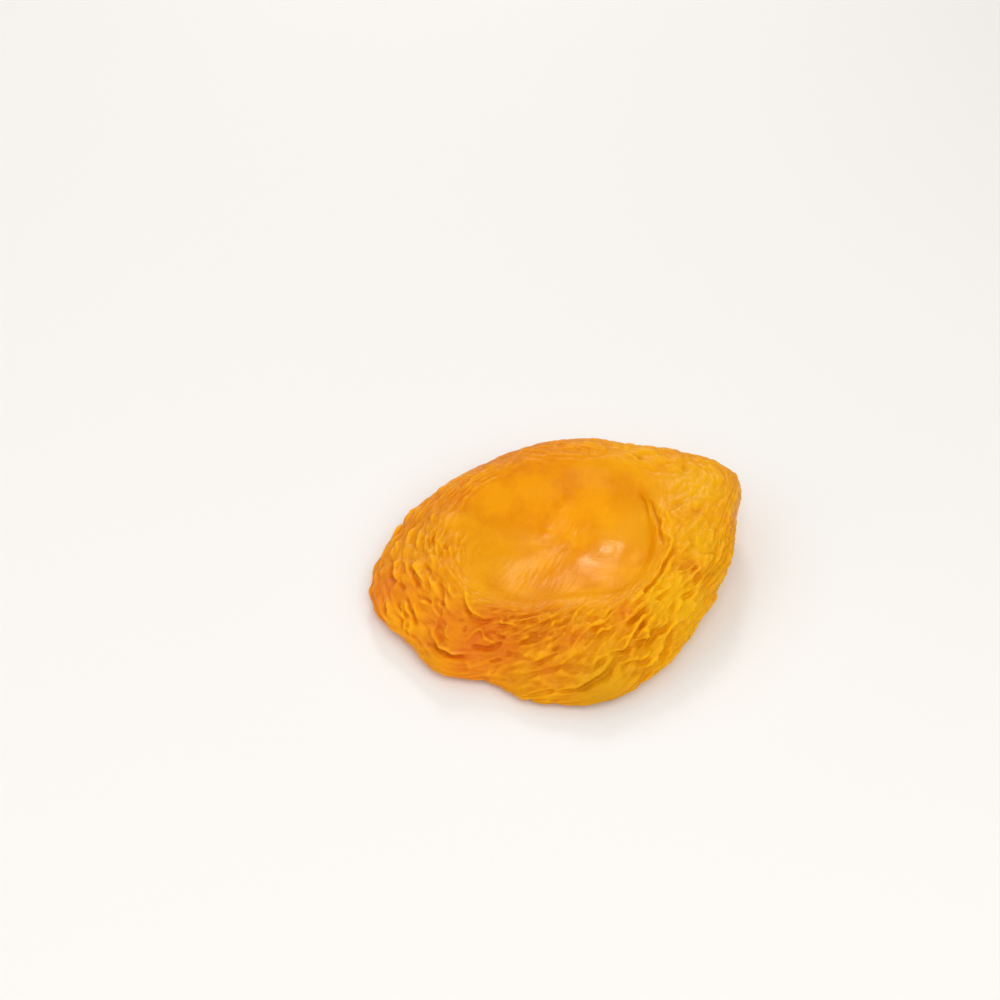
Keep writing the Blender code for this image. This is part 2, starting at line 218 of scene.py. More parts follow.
wrinkles = {
    # noise along and across the rim in mm, its size, its seed
    "wander": (13.0, 8.0, 2.2, 101),     # mm, moves the ridges across the rim
    "sway": (8.0, 7.0, 0.07, 102),       # radians, moves them along it
    "swell": (16.0, 14.0, 0.5, 107),     # mm, slow rise and fall of the whole skin
    "rough": (11.0, 9.0, 0.9, 106),      # how much the ridges come and go
    "edge": (9.0, 7.0, 3.0, 120),        # mm, how unevenly the wrinkles end towards the hollow
    "roughLevel": 0.75,                  # the share of the ridges round which rough goes
    "roughLimits": (0.2, 1.5),
    "fineRough": (0.4, 0.8),             # shares of the fine relief that stay, and that go with rough
    # mm that the pattern runs aslant, towards the hollow, every 45 degrees from the right
    "slant": (12.0, 6.0, 0.0, 0.0, 0.0, 0.0, 8.0, 14.0),
    # along, across, rise in mm, height of the valleys, roundness of the valleys, seed
    "wide": ((12.0, 4.6, 1.0, 0.42, 0.10, 103), (7.0, 2.6, 0.9, 0.33, 0.10, 104)),
    "fine": ((3.6, 1.1, 0.50, 0.32, 0.08, 111), (2.0, 0.7, 0.26, 0.28, 0.07, 112)),
    # along, across, depth in mm (below 0 a bead), narrowness, seed
    "creases": ((5.0, 1.5, 0.20, 0.25, 117), (3.0, 1.0, 0.10, 0.28, 118), (6.5, 2.0, -0.22, 0.20, 119)),
    "fineWarp": 0.4,                     # how far the fine relief follows the wide one's wandering
    "lineWarp": 0.5,                     # how far the finest lines do
    # long ridges side by side: spacing, rise, how they meander, roundness of the valleys, mean of the wave
    "spacing": 1.45,
    "ridgeRise": 0.42,
    "meander": (13.0, 6.0, 1.7, 108),
    "ridgeRound": 0.22,
    "ridgeLevel": 0.68,
    "lean": 0.30,                        # lean of the wide relief down the flank, as a share of its height
    "easeTurns": 6,                      # steps that ease the skin where it would fold through itself
    "easeFacing": (0.0, 0.45),           # how far it turns from the smooth form there, as a cosine
    # shares every 45 degrees from the right: ridges beside the hollow and on the flank, wide pillows,
    # fine relief, cells
    "innerShare": (0.35, 0.15, 0.25, 0.50, 0.60, 0.40, 0.25, 0.40),
    "outerShare": (0.75, 0.20, 0.40, 0.90, 0.90, 0.50, 0.50, 0.80),
    "wideShare": (0.28, 0.30, 0.35, 0.45, 0.30, 0.20, 0.22, 0.25),
    "fineShare": (0.75, 0.35, 0.35, 0.80, 1.15, 0.90, 0.95, 1.25),
    "cellShare": (0.85, 0.80, 0.50, 0.10, 0.00, 0.00, 0.00, 0.30),
    "cells": (2.1, 0.26, 0.22, 113),     # size, depth of the creases round them, narrowness, seed
    "netLevel": 0.35,                    # mean of a net of creases, which is put back
    # the hollow: streaks from front to back (length, width, rise, seed) and dimples (size, rise, seed)
    "streaks": (4.2, 0.65, 0.07, 114),
    "streakWay": (0.39, 0.92),
    "dimples": (5.5, 0.30, 115),
    # creases pressed into the flat sole: length, width, depth, narrowness, seed
    "sole": (6.0, 4.0, 0.35, 0.16, 116),
    # x, y, reach of the places that stay smooth, and the share of the relief that they lose
    "calm": ((8.5, -26.0, 3.2), (-20.5, -22.0, 3.2), (-19.0, -16.8, 2.6)),
    "calmShare": 0.85,
    # the folds' noise: size, how far they stray from their paths, how much they rise and fall, seed
    "stray": (1.8, 0.3, 0.35, 130),
    "foldEnds": (-0.08, 0.25),           # shares of a path between which a fold rises at its ends
    "foldReach": 3.0,                    # half widths from its path beyond which a fold is nothing
    "liftReach": 0.5,                    # mm round a path within which the skin gives its height
    "lineShare": 0.6,                    # half width of a fold's line in the tone, as a share of its own
    "lineFade": 1.3,                     # a fold broader than 1 / 1.3 mm has a weaker line
    "toneWide": 0.4,                     # shares of the pillows and of the folds' lines in the relief shading, which is painted shade and highlight
    "toneLine": 1.6,
}

# folds that stand out, by where they are: points from above, half width on the left and right of the way
# along them, rise
folds = {
    "the loop on the left": (
        (((-21.4, -12.9), (-21.5, -14.1), (-21.7, -15.4), (-21.5, -16.4), (-21.0, -17.5), (-20.0, -18.6),
          (-18.7, -19.3), (-17.4, -19.5), (-15.8, -19.5)), 0.31, 0.27, 0.85),
        (((-23.6, -16.5), (-22.2, -17.4), (-20.9, -18.5), (-19.9, -19.2), (-18.5, -19.9), (-17.2, -20.1),
          (-15.7, -20.1)), 0.34, 0.42, -0.67),
        (((-21.2, -13.3), (-21.3, -14.9), (-21.0, -16.6), (-19.8, -18.2)), 0.63, 0.63, -0.44),
        (((-19.6, -14.7), (-19.7, -15.7), (-19.4, -16.8)), 0.27, 0.27, 0.71),
        (((-20.7, -10.5), (-20.6, -11.8), (-20.6, -13.3)), 0.32, 0.32, -0.56),
        (((-25.1, -15.7), (-23.8, -16.4)), 0.41, 0.41, -0.56),
        (((-24.8, -16.3), (-23.5, -17.1), (-22.1, -18.1)), 0.41, 0.41, 0.43),
    ),
    "the triangle": (
        (((-16.5, -17.8), (-15.4, -16.9), (-14.5, -16.5), (-14.0, -16.5), (-13.5, -17.1), (-12.8, -17.9),
          (-11.7, -18.6)), 0.36, 0.32, 0.77),
        (((-15.6, -18.4), (-14.8, -18.8), (-13.7, -19.1), (-12.7, -19.2), (-11.9, -19.1), (-11.1, -18.8),
          (-10.3, -18.4)), 0.32, 0.41, -0.81),
        (((-13.1, -16.9), (-12.8, -17.6), (-12.1, -18.2)), 0.36, 0.36, -0.47),
        (((-12.4, -17.1), (-11.0, -17.6), (-9.6, -18.1)), 0.3, 0.3, -0.4),
        (((-16.7, -15.4), (-16.8, -16.7)), 0.27, 0.27, -0.47),
        (((-18.2, -14.4), (-16.9, -14.7)), 0.32, 0.32, -0.4),
        (((-12.5, -21.0), (-11.7, -20.9), (-10.7, -20.8)), 0.36, 0.36, -0.35),
        (((-16.0, -20.5), (-15.6, -21.5)), 0.63, 0.63, 0.46),
    ),
    "the edge of the hollow": (
        (((-16.5, -9.8), (-16.5, -11.7), (-16.0, -12.8), (-15.3, -13.8), (-14.5, -14.4), (-13.4, -15.0)),
         0.54, 0.29, 0.63),
        (((-17.2, -11.5), (-16.6, -13.1), (-15.9, -14.3), (-15.2, -15.2), (-14.0, -15.5), (-12.6, -15.4),
          (-10.8, -15.3)), 0.32, 0.45, -0.66),
        (((-10.7, -15.3), (-10.5, -15.9), (-10.0, -16.1), (-8.8, -16.2), (-7.3, -16.1)), 0.27, 0.27, 0.51),
        (((-9.8, -14.9), (-9.7, -15.6)), 0.25, 0.25, 0.38),
        (((-10.3, -15.6), (-10.1, -15.9)), 0.27, 0.27, -0.39),
    ),
    "the left flank": (
        (((-28.8, 5.5), (-29.3, 4.0), (-29.5, 2.2)), 0.4, 0.36, 0.61),
        (((-29.3, 0.1), (-29.2, -1.8), (-28.7, -3.9)), 0.4, 0.36, 0.67),
        (((-30.5, 2.6), (-30.3, -0.6), (-30.0, -3.0), (-29.1, -4.4), (-28.1, -4.2)), 0.4, 0.4, -0.59),
        (((-28.0, -0.1), (-27.2, -1.6), (-26.5, -3.2)), 0.36, 0.36, 0.47),
        (((-27.8, -0.4), (-26.8, -2.3), (-25.9, -4.3), (-25.3, -6.0), (-24.9, -7.4)), 0.4, 0.4, -0.64),
        (((-26.6, -1.0), (-25.5, -3.0), (-24.5, -4.9), (-24.0, -6.3), (-23.7, -7.6)), 0.4, 0.4, 0.61),
        (((-28.8, -4.8), (-27.5, -6.6)), 0.5, 0.5, -0.53),
        (((-30.5, -7.4), (-30.9, -8.3), (-31.0, -9.7)), 0.36, 0.36, 0.45),
        (((-29.8, -7.8), (-29.7, -9.2), (-29.6, -10.4)), 0.36, 0.36, 0.45),
        (((-30.8, -6.7), (-30.5, -8.4), (-30.4, -9.9)), 0.36, 0.36, -0.35),
        (((-28.2, -8.4), (-28.1, -9.6), (-27.5, -10.5), (-26.7, -11.5)), 0.38, 0.38, -0.59),
        (((-28.2, -8.9), (-27.6, -10.3), (-27.2, -11.6)), 0.38, 0.38, 0.54),
        (((-26.7, -9.1), (-26.6, -10.3), (-26.0, -11.2), (-25.5, -12.2)), 0.38, 0.36, 0.67),
        (((-26.7, -8.1), (-26.5, -9.4), (-26.1, -10.4), (-25.5, -11.9), (-24.9, -13.2)), 0.36, 0.38, -0.64),
        (((-25.1, -9.6), (-25.0, -10.7), (-24.4, -12.1)), 0.38, 0.38, 0.61),
        (((-26.7, -11.9), (-26.8, -13.1), (-26.8, -14.2)), 0.36, 0.36, 0.5),
        (((-25.8, -12.3), (-25.7, -13.5), (-25.6, -14.6)), 0.36, 0.36, 0.61),
        (((-27.6, -11.7), (-27.4, -13.2)), 0.36, 0.36, -0.47),
        (((-24.9, -8.2), (-24.5, -8.7), (-23.8, -9.2), (-23.0, -9.8), (-22.4, -10.8)), 0.34, 0.34, -0.37),
        (((-24.2, -9.5), (-23.3, -10.1)), 0.38, 0.38, 0.47),
        (((-22.3, -10.3), (-21.5, -11.9), (-20.9, -13.2)), 0.35, 0.35, 0.54),
        (((-22.1, -10.7), (-21.4, -11.9), (-20.9, -12.9)), 0.3, 0.3, -0.53),
        (((-21.3, -10.6), (-20.6, -11.8), (-20.2, -12.8)), 0.3, 0.3, 0.47),
        (((-20.0, -10.3), (-19.5, -11.3), (-19.4, -12.3)), 0.4, 0.35, 0.54),
        (((-21.2, -6.9), (-20.9, -8.4), (-20.5, -10.1)), 0.46, 0.46, -0.47),
        (((-19.5, -9.0), (-18.8, -10.1), (-18.0, -10.8)), 0.46, 0.46, 0.4),
        (((-24.1, -2.8), (-22.9, -5.2), (-22.0, -7.3)), 0.56, 0.46, -0.36),
        (((-23.1, -5.6), (-22.0, -7.6), (-21.5, -9.4)), 0.7, 0.6, 0.4),
    ),
    "the front": (
        (((-6.8, -16.7), (-5.3, -16.7)), 0.27, 0.27, 0.21),
        (((-10.9, -16.6), (-9.6, -16.7), (-7.8, -17.1)), 0.34, 0.34, -0.25),
        (((-7.2, -17.1), (-5.2, -17.2)), 0.25, 0.25, 0.19),
        (((-7.5, -17.5), (-5.8, -17.7), (-4.2, -17.7), (-2.7, -17.4)), 0.31, 0.31, -0.26),
        (((-9.5, -17.9), (-6.8, -18.5), (-5.1, -18.5), (-3.2, -18.3)), 0.31, 0.31, -0.25),
        (((-11.3, -17.8), (-10.0, -18.1)), 0.31, 0.31, -0.27),
        (((-7.5, -18.7), (-6.0, -19.3)), 0.31, 0.31, -0.25),
        (((-3.4, -13.5), (-2.1, -13.3), (-0.4, -12.8)), 0.32, 0.32, -0.22),
        (((-6.8, -14.1), (-5.3, -14.1), (-3.9, -13.8)), 0.32, 0.32, -0.18),
        (((-2.6, -14.3), (-2.3, -15.6), (-2.1, -16.8)), 0.41, 0.41, 0.22),
        (((-4.3, -14.9), (-4.1, -16.3)), 0.41, 0.41, 0.22),
        (((-1.6, -16.5), (-0.1, -16.1), (0.7, -15.2), (1.3, -14.2), (2.1, -13.5)), 0.36, 0.36, -0.27),
        (((1.6, -14.4), (2.2, -14.8), (1.9, -15.8)), 0.45, 0.45, 0.25),
        (((3.1, -15.7), (4.6, -15.3), (5.9, -15.3), (7.0, -15.0), (7.7, -14.4), (8.6, -13.7)),
         0.29, 0.32, -0.27),
        (((3.4, -16.7), (4.9, -16.5), (6.2, -16.1), (7.1, -15.4), (7.8, -14.8), (8.6, -14.1)),
         0.29, 0.29, 0.3),
        (((3.7, -17.2), (5.1, -17.0), (6.1, -16.8), (6.8, -16.2), (7.8, -15.5)), 0.31, 0.31, -0.27),
        (((4.7, -17.7), (6.3, -17.4), (7.4, -17.0), (8.5, -16.4)), 0.31, 0.31, 0.3),
        (((2.8, -18.7), (4.2, -18.5), (5.4, -18.2), (6.6, -17.9), (7.5, -17.7), (8.8, -16.8)),
         0.31, 0.38, -0.34),
        (((0.4, -17.5), (1.2, -18.1), (2.0, -18.3), (3.4, -18.0)), 0.45, 0.45, -0.27),
        (((1.4, -18.6), (1.0, -19.4), (0.9, -20.2)), 0.32, 0.32, -0.25),
        (((-0.3, -18.3), (0.0, -17.4)), 0.36, 0.36, 0.28),
        (((-1.8, -17.6), (-1.5, -17.2)), 0.41, 0.41, 0.25),
        (((-3.2, -19.7), (-2.0, -19.6), (-1.5, -19.0), (-0.7, -18.4)), 0.32, 0.32, 0.28),
        (((-2.0, -20.4), (-1.5, -19.8), (-1.0, -19.1)), 0.32, 0.32, -0.26),
        (((-5.8, -22.5), (-4.3, -22.1), (-2.9, -21.4), (-1.5, -21.0), (-0.4, -20.6), (0.8, -19.9)),
         0.31, 0.38, -0.34),
        (((-9.2, -22.2), (-7.9, -21.9), (-6.5, -21.8), (-5.4, -21.7), (-4.2, -21.3)), 0.32, 0.32, 0.29),
        (((-9.0, -21.5), (-7.7, -21.2), (-6.5, -21.4), (-5.3, -21.6)), 0.31, 0.31, -0.26),
        (((-7.3, -20.7), (-6.2, -20.9)), 0.45, 0.45, 0.25),
        (((-9.8, -19.7), (-9.6, -20.7)), 0.36, 0.36, -0.25),
        (((-5.8, -24.0), (-4.1, -23.6), (-2.8, -23.4), (-1.6, -23.1), (-0.6, -22.8), (0.6, -22.6),
          (1.9, -23.0), (3.4, -23.4), (4.9, -23.1), (6.1, -22.7)), 0.36, 0.5, -0.37),
        (((-9.0, -23.3), (-7.9, -23.0), (-6.4, -23.4), (-4.5, -23.1), (-3.0, -22.8)), 0.36, 0.36, 0.26),
        (((-10.1, -24.2), (-9.1, -24.1), (-8.1, -24.0), (-7.3, -23.8)), 0.32, 0.32, -0.29),
        (((1.6, -21.8), (2.9, -21.5), (4.3, -21.0)), 0.32, 0.32, -0.26),
        (((1.6, -19.9), (1.9, -21.0)), 0.41, 0.41, 0.25),
        (((3.0, -19.7), (3.1, -20.6)), 0.31, 0.31, 0.25),
        (((-3.9, -26.9), (-2.8, -26.4), (-1.8, -26.1)), 0.32, 0.32, -0.29),
        (((-4.2, -26.3), (-2.9, -25.8), (-1.9, -25.6)), 0.36, 0.36, 0.25),
        (((-14.8, -22.2), (-13.5, -22.6), (-12.5, -22.6), (-11.8, -22.2), (-11.0, -22.1)),
         0.34, 0.41, -0.34),
        (((-14.8, -21.9), (-13.1, -22.1), (-11.9, -21.5)), 0.41, 0.41, 0.22),
        (((-0.3, -24.7), (0.1, -25.8)), 0.5, 0.5, 0.19),
    ),
    "over the lip": (
        (((7.7, -21.2), (7.2, -22.4), (6.3, -23.3), (5.3, -23.9), (4.0, -24.7), (3.0, -25.3),
          (1.5, -25.9)), 0.36, 0.72, 0.7),
        (((9.3, -20.8), (8.6, -21.3), (8.2, -22.1), (7.9, -22.9), (7.2, -23.6), (6.2, -24.3),
          (5.2, -24.8), (4.0, -25.3), (3.2, -25.8), (2.0, -26.4), (0.7, -27.0)), 0.5, 0.34, -0.68),
        (((7.4, -20.7), (6.4, -21.3), (5.2, -22.1)), 0.36, 0.36, 0.51),
        (((6.6, -22.1), (5.9, -22.6), (5.1, -22.9)), 0.31, 0.31, -0.5),
        (((9.4, -23.0), (10.5, -22.4), (11.7, -21.8), (13.0, -21.7), (14.8, -20.7)), 0.32, 0.41, -0.61),
        (((8.5, -21.7), (9.7, -21.7), (11.2, -21.2)), 0.29, 0.29, -0.44),
        (((3.6, -26.2), (5.6, -25.8), (8.0, -25.2), (10.4, -24.1)), 1.5, 1.5, 0.4),
    ),
    "the right flank": (
        (((14.7, -13.3), (13.5, -14.7), (12.6, -15.7), (11.8, -16.7), (11.2, -17.7), (10.4, -18.9),
          (9.9, -19.8), (9.0, -20.4), (7.6, -20.5)), 0.33, 0.36, 1),
        (((14.4, -13.3), (13.0, -14.4), (11.8, -15.3), (10.9, -16.4)), 0.41, 0.41, -0.85),
        (((14.7, -14.2), (13.6, -15.6), (13.0, -16.7), (11.7, -17.8), (10.9, -18.7), (10.5, -19.7),
          (9.9, -20.5), (8.8, -20.7), (7.8, -21.1)), 0.33, 0.37, -1),
        (((14.0, -17.0), (12.8, -17.2), (11.9, -17.7), (11.1, -18.5), (10.6, -19.5), (10.2, -20.6)),
         0.36, 0.36, 0.86),
        (((18.8, -10.9), (18.6, -12.4), (18.4, -13.7), (18.1, -14.6), (17.6, -15.6), (16.7, -16.5),
          (15.8, -17.0), (15.3, -17.7), (14.6, -18.5), (13.9, -19.2), (13.1, -19.9)), 0.37, 0.44, -1),
        (((20.1, -11.1), (19.2, -12.5), (18.6, -13.5), (18.2, -14.5)), 0.41, 0.41, 0.86),
        (((19.6, -14.2), (18.4, -15.0), (17.6, -15.9), (17.1, -16.9)), 0.39, 0.39, 0.97),
        (((21.3, -14.1), (19.9, -14.5), (18.9, -15.6), (18.3, -16.7), (18.0, -17.6), (17.4, -18.5),
          (16.8, -19.6), (16.1, -20.5), (15.1, -21.4), (14.4, -22.0), (13.8, -22.6)), 0.37, 0.44, -0.93),
        (((17.1, -17.5), (16.2, -19.0), (15.3, -20.3), (14.2, -21.3), (13.1, -22.1)), 0.47, 0.47, 0.76),
        (((22.5, -10.7), (21.9, -11.6), (21.5, -12.5)), 0.41, 0.41, 0.66),
        (((15.4, -12.5), (16.0, -11.9)), 0.47, 0.47, 0.66),
        (((5.9, -15.2), (6.9, -14.5), (7.8, -13.5)), 0.33, 0.33, 0.66),
        (((11.3, -12.7), (12.8, -11.4), (13.7, -10.5)), 0.39, 0.39, 0.66),
        (((10.3, -14.2), (10.3, -15.9)), 0.39, 0.39, 0.35),
        (((9.8, -14.0), (9.8, -15.9)), 0.39, 0.39, -0.35),
        (((11.8, -18.8), (13.2, -18.1), (14.6, -17.4)), 0.41, 0.41, 0.58),
        (((12.4, -19.4), (13.6, -18.8), (14.7, -18.0)), 0.36, 0.36, -0.66),
    ),
    "beside the hollow on the right": (
        (((14.5, 13.6), (15.0, 12.1), (15.4, 10.4), (15.5, 8.0)), 0.5, 0.5, -0.53),
        (((16.2, 11.4), (16.6, 9.4), (17.0, 7.0), (17.4, 4.4), (17.3, 1.8), (17.5, -0.3)),
         0.34, 0.55, -0.7),
        (((17.7, 7.6), (17.8, 5.2), (17.9, 2.8), (18.5, 1.1), (19.1, 0.1), (18.8, -1.2), (18.1, -2.7),
          (17.6, -3.7)), 0.45, 0.34, 0.74),
        (((17.3, -3.9), (16.9, -5.2), (16.3, -5.9)), 0.35, 0.35, 0.6),
        (((17.0, 5.2), (17.1, 2.5)), 0.35, 0.35, 0.43),
        (((18.1, 2.5), (18.4, 1.3), (18.6, 0.3)), 0.4, 0.4, -0.22),
        (((19.8, 0.1), (19.3, -1.6), (18.3, -3.4), (17.6, -4.5), (16.9, -6.3), (16.2, -7.7),
          (15.1, -8.9), (14.0, -10.1), (12.9, -11.3), (12.0, -12.2), (10.9, -13.1)), 0.35, 0.4, -0.77),
        (((17.3, -6.7), (16.1, -8.5), (15.0, -9.9), (13.8, -11.3)), 0.4, 0.4, 0.6),
        (((15.1, -8.3), (13.7, -9.8), (12.8, -10.8), (11.1, -12.5)), 0.32, 0.45, 0.54),
        (((18.3, -8.7), (17.0, -10.1), (15.9, -11.1)), 0.4, 0.4, 0.57),
        (((17.8, -10.2), (16.3, -11.1), (15.6, -12.1)), 0.34, 0.34, -0.5),
        (((21.4, -3.5), (22.2, -4.2), (22.9, -5.1), (22.7, -5.9), (22.0, -6.6), (21.3, -7.5)),
         0.35, 0.35, -0.42),
        (((19.5, -5.2), (22.1, -5.3)), 0.35, 0.35, -0.25),
        (((22.5, -3.5), (23.1, -4.5), (23.5, -5.4), (22.8, -6.2), (21.9, -7.5)), 0.4, 0.35, 0.45),
        (((23.7, -6.1), (23.0, -7.3), (22.6, -8.3), (22.2, -9.1), (21.6, -10.0), (20.6, -10.8),
          (19.4, -11.6)), 0.42, 0.45, -0.45),
        (((23.8, -6.8), (23.0, -8.0), (22.3, -9.1), (21.7, -10.1)), 0.4, 0.4, 0.4),
        (((23.5, 1.4), (23.3, -1.2)), 0.45, 0.45, 0.43),
        (((23.0, 2.1), (22.6, -1.9)), 0.37, 0.37, -0.44),
        (((25.2, 0.6), (25.6, -0.7), (26.6, -0.6)), 0.35, 0.35, -0.47),
        (((27.9, 1.1), (27.2, -0.6), (26.7, -1.8), (24.8, -2.3), (23.9, -2.2)), 0.35, 0.35, -0.5),
        (((24.2, -3.2), (24.8, -3.1), (24.5, -4.4)), 0.5, 0.5, 0.43),
        (((18.8, 7.0), (18.7, 4.6)), 0.4, 0.4, 0.43),
        (((22.9, 9.3), (23.7, 8.9), (24.0, 7.7)), 0.35, 0.35, 0.2),
        (((20.5, 8.8), (21.6, 9.3)), 0.59, 0.5, -0.47),
        (((23.4, 7.1), (24.8, 7.0)), 0.5, 0.5, -0.41),
    ),
    "the flat top behind": (
        (((22.6, 18.7), (23.3, 17.2)), 0.65, 0.65, -0.6),
        (((14.6, 21.1), (15.3, 20.6)), 0.72, 0.72, -0.5),
    ),
    "broad forms": (
        (((1.5, -27.4), (6.5, -26.2), (10.5, -24.8), (13.8, -22.6)), 1.7, 1.7, 0.35),
        (((19.3, -0.7), (18.7, -3.0), (17.9, -5.2), (16.5, -8.0), (14.7, -10.9), (13.0, -13.3)),
         1.3, 0.5, 0.35),
        (((16.9, 10.6), (18.2, 7.4), (18.9, 4.6), (18.9, 1.7), (19.6, -0.7)), 0.8, 0.5, 0.35),
        (((1.8, 16.0), (1.2, 15.2), (-1.4, 11.3), (-3.0, 7.5), (-3.4, 4.0)), 2.2, 1.8, -0.45),
        (((3.1, 7.0), (2.2, 3.2)), 0.5, 0.5, 0.22),
    ),
}


# noise at places along the rim, by one line of the dictionary
def noiseOf(name, bearing, way):
    along, across, size, seed = wrinkles[name]
    return size * rimNoise(bearing, way, along, across, seed)


# soft pillows with sharp valleys between: the size of stretched noise with its sign left out
def pillows(bearing, way, layers):
    height = 0
    for along, across, rise, valley, roundness, seed in layers:
        value = rimNoise(bearing, way, along, across, seed)
        height = height + rise * (np.sqrt(value ** 2 + roundness ** 2) - valley)
    return height


# a narrow crease, as deep as a bell curve, wherever a value changes sign
def creasesOf(value, depth, narrow):
    return depth * (wrinkles["netLevel"] - np.exp(-(value / narrow) ** 2))


# nets of creases along the lines where stretched noise changes sign
def creaseNet(bearing, way, layers):
    height = 0
    for along, across, depth, narrow, seed in layers:
        height = height + creasesOf(rimNoise(bearing, way, along, across, seed), depth, narrow)
    return height


# long ridges that meander side by side: a wave across the rim with its troughs narrowed
def longRidges(bearing, way):
    phase = math.pi * way / wrinkles["spacing"] + noiseOf("meander", bearing, way)
    wave = np.sqrt(np.sin(phase) ** 2 + wrinkles["ridgeRound"] ** 2)
    return wrinkles["ridgeRise"] * (wave - wrinkles["ridgeLevel"])


# a smooth open curve through the points of a path, in a few steps from each to the next
def smoothPath(points, steps=6):
    points = np.array(points)
    ends = np.concatenate((2 * points[:1] - points[1:2], points, 2 * points[-1:] - points[-2:-1]))
    slopes = (ends[2:] - ends[:-2]) / 2
    share = (np.arange(steps) / steps)[:, None]
    pieces = [cubic(share, points[place], points[place + 1], slopes[place], slopes[place + 1])
              for place in range(len(points) - 1)]
    return np.concatenate(pieces + [points[-1:]])


# each spot's distance from a path, the share of the path passed there, and its side: above 0 on the left
def alongPath(spot, path):
    nearest = np.full(len(spot), np.inf)
    place, side = np.zeros(len(spot)), np.zeros(len(spot))
    for number, (start, end) in enumerate(zip(path[:-1], path[1:])):
        run, fromStart = end - start, spot - start
        share = np.clip(fromStart @ run / (run @ run), 0, 1)
        away = np.linalg.norm(fromStart - share[:, None] * run, axis=1)
        closer = away < nearest
        place = np.where(closer, (number + share) / (len(path) - 1), place)
        side = np.where(closer, run[0] * fromStart[:, 1] - run[1] * fromStart[:, 0], side)
        nearest = np.minimum(nearest, away)
    return nearest, place, side


# a rounded bead or crease along each fold's path on the skin, as high as a bell curve of the distance and
# lower at its ends; and the same as a narrower line, for the tone's painted shade in creases and highlight
# on beads
def foldHeight(form, way):
    height, line = np.zeros(len(form)), np.zeros(len(form))
    upper = way < bands["folds"][1]
    size, amount, change, seed = wrinkles["stray"]
    stray = np.stack([amount * slopeNoise(form / size, seed + axis) for axis in range(3)], axis=-1)
    uneven = 1 + change * slopeNoise(form / size, seed + 3)
    for points, left, right, rise in [fold for group in folds.values() for fold in group]:
        path = smoothPath(points)
        reach = wrinkles["foldReach"] * max(left, right)
        low, high = path.min(axis=0) - reach, path.max(axis=0) + reach
        near = np.flatnonzero(np.all((form[:, :2] > low) & (form[:, :2] < high), axis=1) & upper)
        spot = form[near] + stray[near]
        gap = np.square(spot[None, :, :2] - path[:, None]).sum(axis=2)
        weight = np.exp(-gap / wrinkles["liftReach"] ** 2)
        path = np.column_stack((path, weight @ spot[:, 2] / weight.sum(axis=1)))
        nearest, place, side = alongPath(spot, path)
        halfWidth = np.where(side > 0, left, right)
        taper = ramp(np.minimum(place, 1 - place), *wrinkles["foldEnds"])
        height[near] += rise * np.exp(-(nearest / halfWidth) ** 2) * taper
        lineRise = rise / max(1, wrinkles["lineFade"] * left)
        line[near] += lineRise * np.exp(-(nearest / (wrinkles["lineShare"] * halfWidth)) ** 2) * taper
    return height * uneven, line * uneven


# the hollow's relief: streaks stretched from front to back, and shallow dimples
def hollowRelief(form):
    x, y = wrinkles["streakWay"]
    length, width, rise, seed = wrinkles["streaks"]
    along = form[:, 0] * x + form[:, 1] * y
    across = form[:, 0] * y - form[:, 1] * x
    height = rise * slopeNoise(np.stack((along / length, across / width, 0 * along), axis=-1), seed)
    size, rise, seed = wrinkles["dimples"]
    return height + rise * slopeNoise(form / size, seed)


# narrow creases in the skin of the sole, along the lines where noise changes sign
def soleCreases(form, way):
    length, width, depth, narrow, seed = wrinkles["sole"]
    value = slopeNoise(form / (length, width, length), seed)
    return depth * np.exp(-(value / narrow) ** 2) * ramp(way, *bands["sole"])


# vectors brought to length 1
def unit(vectors):
    return vectors / np.maximum(np.linalg.norm(vectors, axis=-1, keepdims=True), 1e-12)


# unit normals of a closed grid: the cross product of its slopes along both parameters
def gridNormals(grid):
    along = np.roll(grid, -1, axis=1) - np.roll(grid, 1, axis=1)
    return unit(np.cross(np.gradient(grid, axis=0), along))


# where the skin would fold through itself, each point moves towards the middle of its neighbours
def easeFolds(grid, normal):
    for turn in range(wrinkles["easeTurns"]):
        facing = np.sum(gridNormals(grid) * normal, axis=-1)
        tight = 1 - ramp(facing, *wrinkles["easeFacing"])
        above, below = np.roll(grid, 1, axis=0), np.roll(grid, -1, axis=0)
        above[0], below[-1] = grid[0], grid[-1]
        middle = (np.roll(grid, 1, axis=1) + np.roll(grid, -1, axis=1) + above + below) / 4
        grid = grid + tight[..., None] * (middle - grid)
    return grid


# both parameters at each point of the grid, and its shape: the bearing, with the columns crowded on one
# side by a sine, and the way, with the rows spread by rowShare and rowWay
def gridParameters():
    rows, columns = peach["rows"] - 1, peach["columns"]
    turn = np.arange(columns) / columns * 2 * np.pi
    turn = turn - peach["crowding"] * np.sin(turn - math.radians(peach["crowdedAt"]))
    share = np.arange(1, rows + 1) / (rows + 1)
    way = np.interp(share, peach["rowShare"], peach["rowWay"])
    return np.tile(turn, rows), np.repeat(way, columns), (rows, columns)


